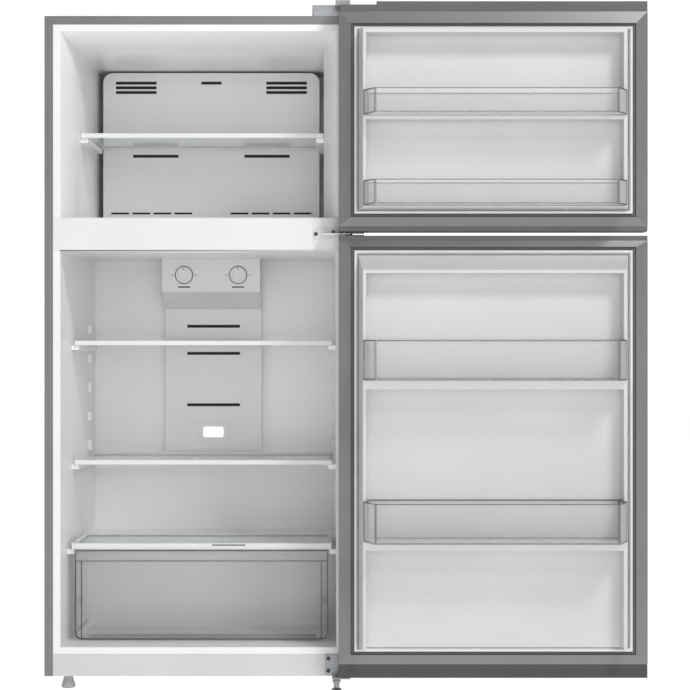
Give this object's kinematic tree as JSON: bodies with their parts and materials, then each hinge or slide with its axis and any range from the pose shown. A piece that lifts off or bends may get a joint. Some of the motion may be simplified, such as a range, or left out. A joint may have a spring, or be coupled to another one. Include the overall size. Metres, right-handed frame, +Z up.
{
  "type": "top freezer refrigerator",
  "caption": "Top freezer refrigerator with two right-hinged doors, glass shelves, a clear crisper drawer, clear door bins and two control dials.",
  "frame": {"origin": "centre of the footprint with both doors open half a turn, on the floor", "axes": "+Z up, +Y from the doors to the cabinet's back, +X to the right as seen from the front, where the doors lie when open"},
  "size_m": [1.4754, 0.84, 1.6895],
  "materials": {
    "inox_steel": "satin",
    "galvanised_steel": "satin",
    "zinc_steel": "satin",
    "liner_plastic": "satin",
    "white_plastic": "satin",
    "clear_plastic": "gloss",
    "shelf_glass": "gloss",
    "gasket_rubber": "matte",
    "dark_cap": "matte",
    "dark_plastic": "matte",
    "grey_plastic": "satin",
    "base_enamel": "satin",
    "black_rubber": "matte",
    "black_enamel": "satin",
    "white_enamel": "satin",
    "bare_aluminium": "satin",
    "lamp_lens": "satin",
    "insulation": "matte"
  },
  "bodies": {
    "cabinet": {"cabinet_wrapper": "inox_steel", "cabinet_back_panel": "galvanised_steel", "cabinet_foam": "insulation", "freezer_liner": "liner_plastic", "fridge_liner": "liner_plastic", "mullion_cover": "liner_plastic", "base_front_beam": "base_enamel", "base_pan": "galvanised_steel", "machine_cover": "dark_plastic", "cord_gland": "black_rubber", "compressor": "black_enamel", "compressor_grommets": "black_rubber", "condenser_coil": "black_enamel", "drip_tray": "dark_plastic", "evaporator_cover": "white_plastic", "evaporator": "bare_aluminium", "fan_motor": "black_enamel", "duct_cover": "white_plastic", "lamp_lens": "lamp_lens", "control_housing": "white_plastic", "top_hinge": "zinc_steel", "top_hinge_cover": "grey_plastic", "middle_hinge": "white_enamel", "bottom_hinge": "zinc_steel", "hinge_screws": "zinc_steel", "roller_brackets": "galvanised_steel"},
    "freezer_door": {"freezer_door_skin": "inox_steel", "freezer_door_liner": "liner_plastic", "freezer_door_foam": "insulation", "freezer_door_gasket": "gasket_rubber", "freezer_door_top_cap": "dark_cap", "freezer_door_bottom_cap": "dark_cap", "freezer_handle_cup": "dark_cap"},
    "fridge_door": {"fridge_door_skin": "inox_steel", "fridge_door_liner": "liner_plastic", "fridge_door_foam": "insulation", "fridge_door_gasket": "gasket_rubber", "fridge_door_top_cap": "dark_cap", "fridge_door_bottom_cap": "dark_cap", "fridge_handle_cup": "dark_cap"},
    "freezer_upper_bin": {"freezer_upper_bin": "clear_plastic"},
    "freezer_lower_bin": {"freezer_lower_bin": "clear_plastic"},
    "fridge_upper_bin": {"fridge_upper_bin": "clear_plastic"},
    "fridge_lower_bin": {"fridge_lower_bin": "clear_plastic"},
    "freezer_shelf": {"freezer_shelf_glass": "shelf_glass", "freezer_shelf_trim": "white_plastic"},
    "upper_shelf": {"upper_shelf_glass": "shelf_glass", "upper_shelf_trim": "white_plastic"},
    "lower_shelf": {"lower_shelf_glass": "shelf_glass", "lower_shelf_trim": "white_plastic"},
    "crisper_cover": {"crisper_cover_glass": "shelf_glass", "crisper_cover_frame": "white_plastic"},
    "crisper_drawer": {"crisper_drawer": "clear_plastic"},
    "freezer_dial": {"freezer_dial": "white_plastic"},
    "fridge_dial": {"fridge_dial": "white_plastic"},
    "evaporator_fan": {"fan_blade": "dark_plastic"},
    "left_foot": {"left_foot": "grey_plastic"},
    "right_foot": {"right_foot": "zinc_steel"},
    "left_roller": {"left_roller": "dark_plastic"},
    "right_roller": {"right_roller": "dark_plastic"}
  },
  "joints": [
    {"name": "freezer_door_hinge", "type": "hinge", "parent": "cabinet", "child": "freezer_door", "pos_m": [0.00275, -0.255, 1.1203], "axis": [0, 0, -1], "range_deg": [0, 180]},
    {"name": "fridge_door_hinge", "type": "hinge", "parent": "cabinet", "child": "fridge_door", "pos_m": [0.00275, -0.255, 1.1203], "axis": [0, 0, -1], "range_deg": [0, 180]},
    {"name": "freezer_upper_bin_lift", "type": "slide", "parent": "freezer_door", "child": "freezer_upper_bin", "axis": [0, 0, 1], "range_m": [0, 0.05]},
    {"name": "freezer_lower_bin_lift", "type": "slide", "parent": "freezer_door", "child": "freezer_lower_bin", "axis": [0, 0, 1], "range_m": [0, 0.05]},
    {"name": "fridge_upper_bin_lift", "type": "slide", "parent": "fridge_door", "child": "fridge_upper_bin", "axis": [0, 0, 1], "range_m": [0, 0.05]},
    {"name": "fridge_lower_bin_lift", "type": "slide", "parent": "fridge_door", "child": "fridge_lower_bin", "axis": [0, 0, 1], "range_m": [0, 0.05]},
    {"name": "freezer_shelf_slide", "type": "slide", "parent": "cabinet", "child": "freezer_shelf", "axis": [0, 1, 0], "range_m": [-0.24, 0]},
    {"name": "upper_shelf_slide", "type": "slide", "parent": "cabinet", "child": "upper_shelf", "axis": [0, 1, 0], "range_m": [-0.3, 0]},
    {"name": "lower_shelf_slide", "type": "slide", "parent": "cabinet", "child": "lower_shelf", "axis": [0, 1, 0], "range_m": [-0.3, 0]},
    {"name": "crisper_cover_slide", "type": "slide", "parent": "cabinet", "child": "crisper_cover", "axis": [0, 1, 0], "range_m": [-0.18, 0]},
    {"name": "crisper_drawer_slide", "type": "slide", "parent": "cabinet", "child": "crisper_drawer", "axis": [0, 1, 0], "range_m": [-0.21, 0]},
    {"name": "freezer_dial_turn", "type": "hinge", "parent": "cabinet", "child": "freezer_dial", "pos_m": [-0.43075, 0.208, 1.039], "axis": [0, -1, 0], "range_deg": [-135, 135]},
    {"name": "fridge_dial_turn", "type": "hinge", "parent": "cabinet", "child": "fridge_dial", "pos_m": [-0.28475, 0.208, 1.039], "axis": [0, -1, 0], "range_deg": [-135, 135]},
    {"name": "fan_spin", "type": "hinge", "parent": "cabinet", "child": "evaporator_fan", "pos_m": [-0.35775, 0.25, 1.4564], "axis": [0, 1, 0], "continuous": true},
    {"name": "left_foot_turn", "type": "hinge", "parent": "cabinet", "child": "left_foot", "pos_m": [-0.68275, -0.18, 0], "axis": [0, 0, 1], "continuous": true},
    {"name": "right_foot_turn", "type": "hinge", "parent": "cabinet", "child": "right_foot", "pos_m": [-0.01675, -0.234, 0], "axis": [0, 0, 1], "continuous": true},
    {"name": "left_roller_spin", "type": "hinge", "parent": "cabinet", "child": "left_roller", "pos_m": [-0.65775, 0.375, 0.016], "axis": [1, 0, 0], "continuous": true},
    {"name": "right_roller_spin", "type": "hinge", "parent": "cabinet", "child": "right_roller", "pos_m": [-0.05775, 0.375, 0.016], "axis": [1, 0, 0], "continuous": true}
  ]
}
